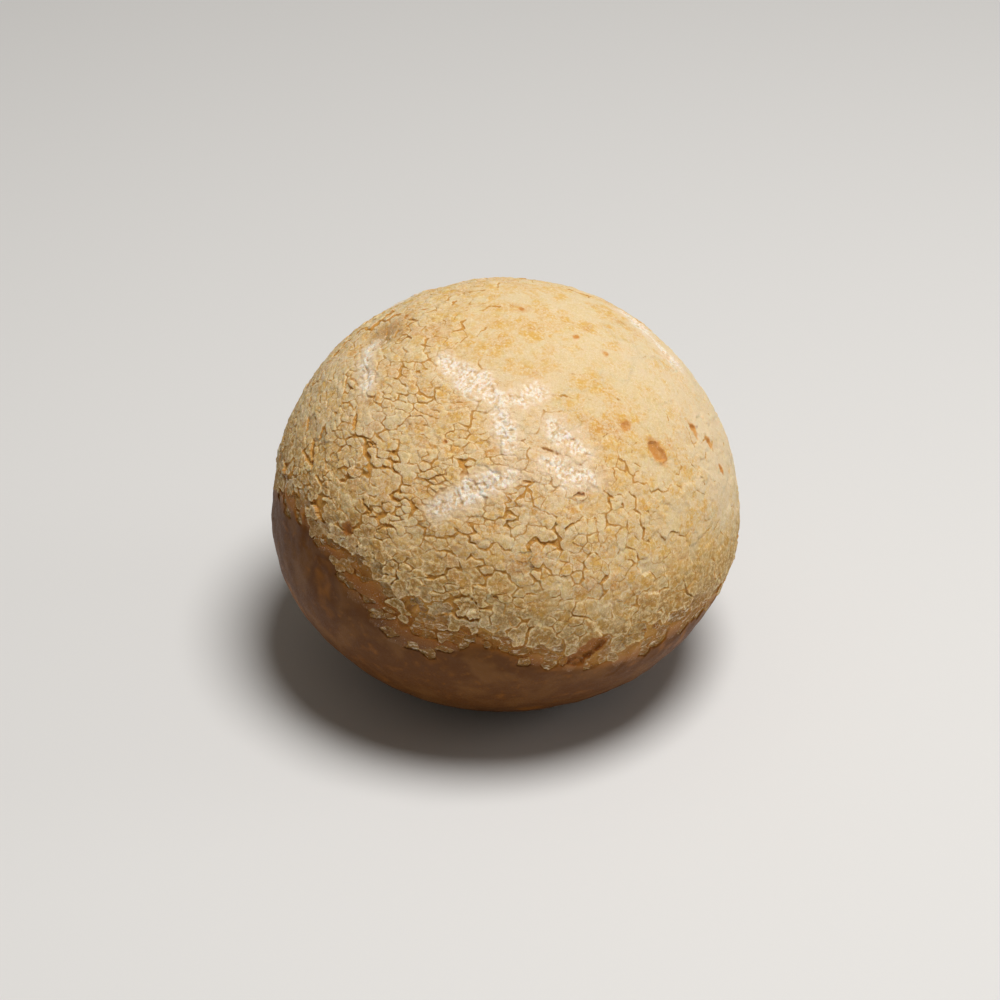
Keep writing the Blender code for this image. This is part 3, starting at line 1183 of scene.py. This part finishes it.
def new_group(name, inputs, outputs):
    """An empty node group with named sockets."""
    group = bpy.data.node_groups.new(name, "ShaderNodeTree")
    for in_out, sockets in (("INPUT", inputs), ("OUTPUT", outputs)):
        for label, kind, value in sockets:
            socket = group.interface.new_socket(label, in_out=in_out, socket_type="NodeSocket" + kind)
            if value is not None:
                socket.default_value = value
    recipe = Recipe(group)
    entry = group.nodes.new("NodeGroupInput").outputs
    leave = group.nodes.new("NodeGroupOutput").inputs
    return group, recipe, entry, leave


def mottle_group():
    """Uneven browning: three colours in soft patches, with small specks of the darkest."""
    group, recipe, entry, leave = new_group("oven_mottle", (
        ("Pale", "Color", None), ("Middle", "Color", None), ("Dark", "Color", None),
        ("Patch Size", "Float", 3.0 * MM), ("Shift", "Float", 0.0)), (("Color", "Color", None),))
    broad = recipe.noise(entry["Patch Size"], 3.0, 0.6, 0.25)
    shifted = recipe.plus(broad, entry["Shift"])
    colour = recipe.mix(recipe.ramp(shifted, 0.38, 0.60), entry["Pale"], entry["Middle"])
    colour = recipe.mix(recipe.ramp(shifted, 0.60, 0.80), colour, entry["Dark"])
    fine = recipe.noise(recipe.times(entry["Patch Size"], 0.16), 2.0, 0.6)
    colour = recipe.mix(recipe.ramp(fine, 0.56, 0.78, 0.0, 0.45), colour, entry["Dark"])
    recipe.feed(leave["Color"], colour)
    return group


def flour_group():
    """Where flour lies: patches broken up into specks."""
    group, recipe, entry, leave = new_group("flour_dust", (
        ("Amount", "Float", 0.5), ("Patch Size", "Float", 1.4 * MM)), (("Mask", "Float", None),))
    patches = recipe.noise(entry["Patch Size"], 4.0, 0.65, 0.8)
    specks = recipe.noise(0.20 * MM, 3.0, 0.7)
    level = recipe.plus(recipe.times(patches, 0.62), recipe.times(specks, 0.38))
    extra = recipe.times(recipe.minus(entry["Amount"], 0.5), 0.42)
    recipe.feed(leave["Mask"], recipe.ramp(recipe.plus(level, extra), 0.46, 0.66))
    return group


def grain_group():
    """The fine matt grain of baked dough, as a height and as a mask."""
    group, recipe, entry, leave = new_group("baked_grain", (
        ("Grain Size", "Float", 0.18 * MM), ("Coarse Share", "Float", 0.5)),
        (("Height", "Float", None), ("Mask", "Float", None)))
    fine = recipe.noise(entry["Grain Size"], 2.0, 0.6)
    coarse = recipe.noise(recipe.times(entry["Grain Size"], 4.0), 2.0, 0.5)
    both = recipe.plus(fine, recipe.times(coarse, entry["Coarse Share"]))
    recipe.feed(leave["Height"], both)
    recipe.feed(leave["Mask"], recipe.ramp(fine, 0.35, 0.65))
    return group


def crackle_group():
    """Cracks too fine for the mesh: thin lines round crumbs, and the broad halo beside them."""
    group, recipe, entry, leave = new_group("fine_crackle", (
        ("Cell Size", "Float", 0.8 * MM), ("Amount", "Float", 0.5)),
        (("Line", "Float", None), ("Halo", "Float", None)))
    place = recipe.node("TexCoord").outputs["Object"]
    drift = recipe.node("TexNoise")
    for label, value in (("Vector", place), ("Scale", 1.0 / (0.6 * MM)), ("Detail", 3.0)):
        recipe.feed(drift.inputs[label], value)
    moved = recipe.node("VectorMath", operation="MULTIPLY_ADD")
    for socket, value in zip(moved.inputs, (drift.outputs["Color"], (0.8 * MM,) * 3, place)):
        recipe.feed(socket, value)
    cells = recipe.node("TexVoronoi", feature="DISTANCE_TO_EDGE")
    recipe.feed(cells.inputs["Vector"], moved.outputs[0])
    recipe.feed(cells.inputs["Scale"], recipe.sum("DIVIDE", 1.0, entry["Cell Size"]))
    less = recipe.minus(entry["Amount"], 1.0)
    opened = recipe.plus(recipe.noise(1.4 * MM, 3.0, 0.6), less)
    width = recipe.times(opened, 0.28, clamp=True)
    share = recipe.sum("DIVIDE", cells.outputs["Distance"], recipe.sum("MAXIMUM", width, 0.001))
    recipe.feed(leave["Line"], recipe.minus(1.0, share, clamp=True))
    halo = recipe.minus(cells.outputs["Distance"], recipe.noise(0.3 * MM, 2.0, 0.6))
    recipe.feed(leave["Halo"], recipe.ramp(halo, -0.50, -0.22, 1.0, 0.0))
    return group


def new_material(name):
    """A material, its recipe and the sockets of its shader."""
    material = bpy.data.materials.new(name)
    material.use_nodes = True
    return material, Recipe(material.node_tree), material.node_tree.nodes["Principled BSDF"].inputs


def crust_material(mottle, dust, grain, crackle):
    """Golden plates with pale rims over amber dough, crumbly tears and flour."""
    material, recipe, shader = new_material("crackled_crust")
    shader["Subsurface Weight"].default_value = 0.70
    shader["Subsurface Radius"].default_value = (1.0, 0.70, 0.45)
    shader["Subsurface Scale"].default_value = 0.6 * MM
    shader["Specular IOR Level"].default_value = 0.22
    dough = dough_colour(recipe, mottle, dust)
    relief = recipe.place(grain, Grain_Size=0.17 * MM, Coarse_Share=1.6)
    fine = recipe.place(crackle, Cell_Size=0.95 * MM, Amount=recipe.fade("smooth", 0.0, 1.0, 0.62, 0.40))
    colour = plate_colour(recipe, mottle, fine["Halo"])
    colour = veined(recipe, crackle, colour)
    colour = floured(recipe, dust, colour, recipe.mark("flour"), 1.3 * MM, FLOUR)
    colour = thin_colour(recipe, colour, dough)
    # the finest cracks drawn as brown lines, their darkness partly painted shade
    colour = recipe.mix(recipe.times(fine["Line"], 0.60), colour, HAIRLINE_SHADE)
    # amber painted along each crack's rim as the warm shade and glow of light through the crust
    colour = recipe.mix(recipe.fade("rim", 0.70, 1.0, 0.0, 0.80), colour, PAINTED_GLOW_AMBER)
    colour = crack_colour(recipe, colour, dough)
    colour = pitted(recipe, colour)
    colour = crumb_colour(recipe, colour)
    recipe.feed(shader["Base Color"], speckled(recipe, colour, relief["Mask"]))
    roughen(recipe, shader, relief, fine["Line"])
    return material


def roughen(recipe, shader, relief, line):
    """Matt grain and hairlines on the crust, and a smoother, shinier floor where dough lies open."""
    height = recipe.minus(relief["Height"], recipe.times(line, 0.5))
    bump_up(recipe, shader, recipe.times(height, recipe.fade("bare", 0.0, 1.0, 1.0, 0.2)), 0.055 * MM)
    dull = recipe.ramp(relief["Mask"], 0.0, 1.0, 0.72, 0.86)
    recipe.feed(shader["Roughness"], recipe.times(dull, recipe.fade("bare", 0.0, 1.0, 1.0, 0.62)))


def veined(recipe, crackle, colour):
    """Pale veins and clouds on the upper crust."""
    veins = recipe.place(crackle, Cell_Size=2.4 * MM, Amount=0.0)["Halo"]
    clouds = recipe.ramp(recipe.noise(3.4 * MM, 5.0, 0.65, 0.5), 0.50, 0.66, 0.0, 0.9)
    pale = recipe.sum("MAXIMUM", veins, clouds)
    return recipe.mix(recipe.times(pale, recipe.fade("low", 0.0, 0.7, 0.60, 0.0)), colour, VEIN)


def pitted(recipe, colour):
    """Orange stains in and round the pits, dark brown in the hole at the crust's edge."""
    stain = recipe.mix(recipe.ramp(recipe.noise(0.9 * MM, 3.0, 0.6), 0.40, 0.62), ORANGE, PALE_ORANGE)
    stain = recipe.mix(recipe.fade("low", 0.5, 1.0), stain, DARK_HOLE_BROWN)
    return recipe.mix(recipe.fade("stain", 0.10, 0.9, 0.0, 0.92), colour, stain)


def speckled(recipe, colour, grain_mask):
    """Painted shade between the grains, with white crumbs on top, and duller on the smooth crown."""
    colour = recipe.mix(recipe.fade("smooth", 0.0, 1.0, 0.0, 0.08), colour, OLIVE_GOLD)
    # painted shade in the hollows of the grain
    colour = recipe.mix(recipe.ramp(grain_mask, 0.0, 1.0, 0.18, 0.0), colour, HAIRLINE_SHADE)
    specks = recipe.ramp(recipe.noise(0.22 * MM, 2.0, 0.6), 0.62, 0.74, 0.0, 0.45)
    return recipe.mix(specks, colour, CRUMB_TIP)


def plate_colour(recipe, mottle, halo):
    """Gold in the middle of each plate, paler and crumbly towards its rims, and darker low down with
    painted shade.
    """
    tone = recipe.times(recipe.minus(recipe.mark("tone"), 0.5), 0.36)
    tone = recipe.plus(tone, recipe.fade("smooth", 0.0, 1.0, 0.11, -0.03))
    browned = recipe.place(mottle, Pale=CREAM, Middle=GOLD, Dark=DEEP_GOLD,
                           Patch_Size=2.8 * MM, Shift=tone)["Color"]
    # painted shade low on the crust, broken into patches
    low_shade = recipe.ramp(recipe.noise(1.7 * MM, 3.0, 0.6), 0.36, 0.64, 0.10, 0.95)
    low_shade = recipe.times(recipe.mark("low"), low_shade)
    browned = recipe.mix(low_shade, browned, OLIVE_GOLD)
    # more painted shade towards the crust's edge
    browned = recipe.mix(recipe.fade("low", 0.2, 1.0, 0.0, 0.58), browned, THIN_CRUST_AND_SHADE)
    breakup = recipe.noise(0.50 * MM, 4.0, 0.7)
    large = recipe.times(recipe.mark("plate_rim"), recipe.fade("smooth", 0.0, 1.0, 1.0, 0.3))
    small = recipe.times(recipe.sum("MAXIMUM", recipe.mark("rim"), halo), 0.50)
    ragged = recipe.times(recipe.minus(breakup, 0.5), 2.2)
    rim = recipe.plus(recipe.sum("MAXIMUM", large, small), ragged)
    paled = recipe.mix(recipe.ramp(rim, 0.20, 0.80, 0.0, 0.90), browned, PALE_RIM)
    whitened = recipe.times(recipe.mark("flour"), recipe.ramp(rim, 0.55, 1.10))
    return recipe.mix(recipe.times(whitened, 0.9), paled, CRUMB_TIP)


def thin_colour(recipe, colour, dough):
    """Where the crust thins out the dough shows through, between pale flecks and rims."""
    rim = recipe.times(recipe.mark("plate_rim"), 0.05)
    flecks = recipe.plus(recipe.noise(1.1 * MM, 4.0, 0.7, flat=2.4), rim)
    seen_through = recipe.mix(recipe.ramp(recipe.noise(1.2 * MM, 3.0, 0.6), 0.38, 0.62), dough, THIN_CRUST_AND_SHADE)
    faded = recipe.mix(recipe.ramp(flecks, 0.53, 0.66), seen_through, FLOUR)
    faded = recipe.mix(recipe.ramp(flecks, 0.62, 0.74), faded, CRUMB_TIP)
    return recipe.mix(recipe.fade("thin", 0.0, 1.0, 0.0, 0.94), colour, faded)


def floured(recipe, dust, colour, amount, patch_size, flour_colour):
    """The colour under a thin dusting."""
    mask = recipe.place(dust, Amount=amount, Patch_Size=patch_size)["Mask"]
    return recipe.mix(recipe.times(mask, 0.75), colour, flour_colour)


def crack_colour(recipe, colour, dough):
    """Painted shade, a darker brown, in the hairlines; painted glow, a brighter amber for light through the
    crust, in the cracks; plain amber where the dough lies open.
    """
    gap = recipe.mark("gap")
    uneven = recipe.plus(gap, recipe.ramp(recipe.noise(0.35 * MM, 3.0, 0.6), 0.3, 0.7, -0.2, 0.2))
    # shallow cracks get a darker brown painted as their shade, deeper ones a brighter amber painted as
    # light glowing through the crust
    inside = recipe.mix(recipe.ramp(uneven, 0.10, 0.50), HAIRLINE_SHADE, PAINTED_GLOW_AMBER)
    inside = recipe.mix(recipe.ramp(gap, 0.70, 0.98), inside, AMBER)
    crumbs = recipe.ramp(recipe.noise(0.30 * MM, 3.0, 0.7), 0.54, 0.68, 0.0, 0.25)
    inside = recipe.mix(crumbs, inside, PALE_RIM)
    inside = recipe.mix(recipe.mark("browned"), inside, dough)
    return recipe.mix(recipe.ramp(gap, 0.0, 0.08), colour, inside)


def dough_colour(recipe, mottle, dust):
    """The browned underside, ambery in places and dusty in others, painted darker than the dough's own
    colour as the shade that lies on it, most towards the base.
    """
    browned = recipe.place(mottle, Pale=BELLY_PALE, Middle=BELLY_BROWN, Dark=BELLY_AMBER,
                           Patch_Size=6.0 * MM, Shift=0.04)["Color"]
    # painted glow: the belly lighter just below the crust's edge, where more light falls
    browned = recipe.mix(recipe.fade("bloom", 0.0, 0.8, 0.0, 0.8), browned, BELLY_PAINTED_GLOW)
    # darker towards the base: browner dough deepened with painted shade
    browned = recipe.mix(recipe.mark("base"), browned, BASE_SHADE_BROWN)
    patches = recipe.ramp(recipe.noise(7.0 * MM, 2.0, 0.5, flat=2.0), 0.36, 0.62, 0.25, 0.85)
    dusty = recipe.times(recipe.mark("bloom"), recipe.mark("dusty"))
    amount = recipe.minus(recipe.times(dusty, patches), 0.02)
    return floured(recipe, dust, browned, amount, 1.6 * MM, BLOOM)


def crumb_colour(recipe, colour):
    """Pale crumbs with white tips in and round the tears, and painted shade between them where their relief
    lies low.
    """
    # the crumbs' relief height: its low parts are painted in shade
    relief = recipe.sum("MULTIPLY_ADD", recipe.mark("crumbs"), 0.20, 0.25)
    lumps = recipe.sum("MULTIPLY_ADD", recipe.noise(0.42 * MM, 3.0, 0.7), 0.5, relief)
    crumb = recipe.mix(recipe.ramp(lumps, 0.36, 0.48), CRUMB_SHADE, CRUMB)
    crumb = recipe.mix(recipe.ramp(lumps, 0.46, 0.56), crumb, CRUMB_TIP)
    patches = recipe.sum("MULTIPLY_ADD", recipe.noise(1.7 * MM, 5.0, 0.7), 1.4, 0.3)
    spread = recipe.times(recipe.mark("torn"), patches)
    colour = recipe.mix(recipe.ramp(spread, 0.14, 0.50, 0.0, 0.75), colour, CRUMB)
    return recipe.mix(recipe.ramp(spread, 0.36, 0.74), colour, crumb)


def bump_up(recipe, shader, height, distance):
    """Relief too fine for the mesh."""
    bump = recipe.node("Bump")
    recipe.feed(bump.inputs["Distance"], distance)
    recipe.feed(bump.inputs["Height"], height)
    recipe.feed(shader["Normal"], bump.outputs["Normal"])


def belly_material(mottle, dust, grain):
    """Smooth browned dough with a soft shine, ambery in places and dusty in others, with painted shade in
    its colour.
    """
    material, recipe, shader = new_material("browned_belly")
    shader["Specular IOR Level"].default_value = 0.13
    colour = dough_colour(recipe, mottle, dust)
    colour = recipe.mix(recipe.fade("stain", 0.15, 0.9), colour, DARK_HOLE_BROWN)
    recipe.feed(shader["Base Color"], colour)
    relief = recipe.place(grain, Grain_Size=0.22 * MM, Coarse_Share=1.6)
    bump_up(recipe, shader, relief["Height"], 0.012 * MM)
    recipe.feed(shader["Roughness"], recipe.ramp(relief["Mask"], 0.0, 1.0, 0.46, 0.60))
    return material


# ---------------------------------------------------------------- light, floor and camera

MIDDLE_HEIGHT = HEIGHT / 2
SENSOR_WIDTH = 36.0           # in millimetres, as the lens
LENS = 100.4
VIEW_ELEVATION = 34
VIEW_DISTANCE = 357 * MM
VIEW_DROP = 1.41 * MM         # how far the aim lies below the middle, and to its left
VIEW_SIDE = 0.64 * MM
FLOOR_REACH = 3.0             # from the middle to each side
FLOOR_COLOUR = (0.75, 0.76, 0.78, 1.0)
WORLD_COLOUR = (1.0, 0.90, 0.76, 1.0)
WORLD_STRENGTH = 0.14
LIGHTS = (                    # azimuth, elevation, distance, size, power, colour
    ("key", 56, 77, 0.6, 0.26, 3.25, (1.0, 0.97, 0.92)),
    ("side", 95, 20, 0.6, 0.25, 0.30, (1.0, 0.98, 0.95)),
)


def aim(thing, target):
    """Turn a camera or a light towards a point."""
    thing.rotation_euler = (Vector(target) - thing.location).to_track_quat("-Z", "Y").to_euler()


def add_light(name, azimuth, elevation, distance, size, power, colour):
    """A round soft lamp that shines on the middle of the ball."""
    lamp = bpy.data.lights.new(name, "AREA")
    lamp.shape = "DISK"
    lamp.size = size
    lamp.energy = power
    lamp.color = colour
    light = bpy.data.objects.new(name, lamp)
    light.location = Vector(direction(azimuth, elevation) * distance)
    bpy.context.scene.collection.objects.link(light)
    aim(light, (0.0, 0.0, MIDDLE_HEIGHT))


def add_camera():
    """Long lens, looking down on the front."""
    camera = bpy.data.objects.new("camera", bpy.data.cameras.new("camera"))
    camera.data.lens = LENS
    camera.data.sensor_width = SENSOR_WIDTH
    bpy.context.scene.collection.objects.link(camera)
    view = direction(0, VIEW_ELEVATION)
    rise = direction(180, 90 - VIEW_ELEVATION)
    target = np.array((-VIEW_SIDE, 0.0, MIDDLE_HEIGHT)) - VIEW_DROP * rise
    camera.location = Vector(target + view * VIEW_DISTANCE)
    aim(camera, target)
    bpy.context.scene.camera = camera


def add_floor():
    """A wide pale sheet under the base."""
    mesh = bpy.data.meshes.new("floor")
    sheet = bmesh.new()
    bmesh.ops.create_grid(sheet, x_segments=1, y_segments=1, size=FLOOR_REACH)
    sheet.to_mesh(mesh)
    sheet.free()
    floor = bpy.data.objects.new("floor", mesh)
    floor.location.z = LOW[2]
    paint, _, shader = new_material("pale_floor")
    shader["Base Color"].default_value = FLOOR_COLOUR
    shader["Roughness"].default_value = 0.9
    mesh.materials.append(paint)
    bpy.context.scene.collection.objects.link(floor)


def add_world():
    """Soft warm light from all round."""
    world = bpy.data.worlds.new("studio")
    world.use_nodes = True
    sky = world.node_tree.nodes["Background"].inputs
    sky["Color"].default_value = WORLD_COLOUR
    sky["Strength"].default_value = WORLD_STRENGTH
    bpy.context.scene.world = world
    bpy.context.scene.view_settings.view_transform = "Standard"


def main():
    mottle = mottle_group()
    dust = flour_group()
    grain = grain_group()
    belly_look = belly_material(mottle, dust, grain)
    crust_look = crust_material(mottle, dust, grain, crackle_group())
    make_pieces(belly_look, crust_look)
    add_camera()
    add_floor()
    add_world()
    for light in LIGHTS:
        add_light(*light)


main()
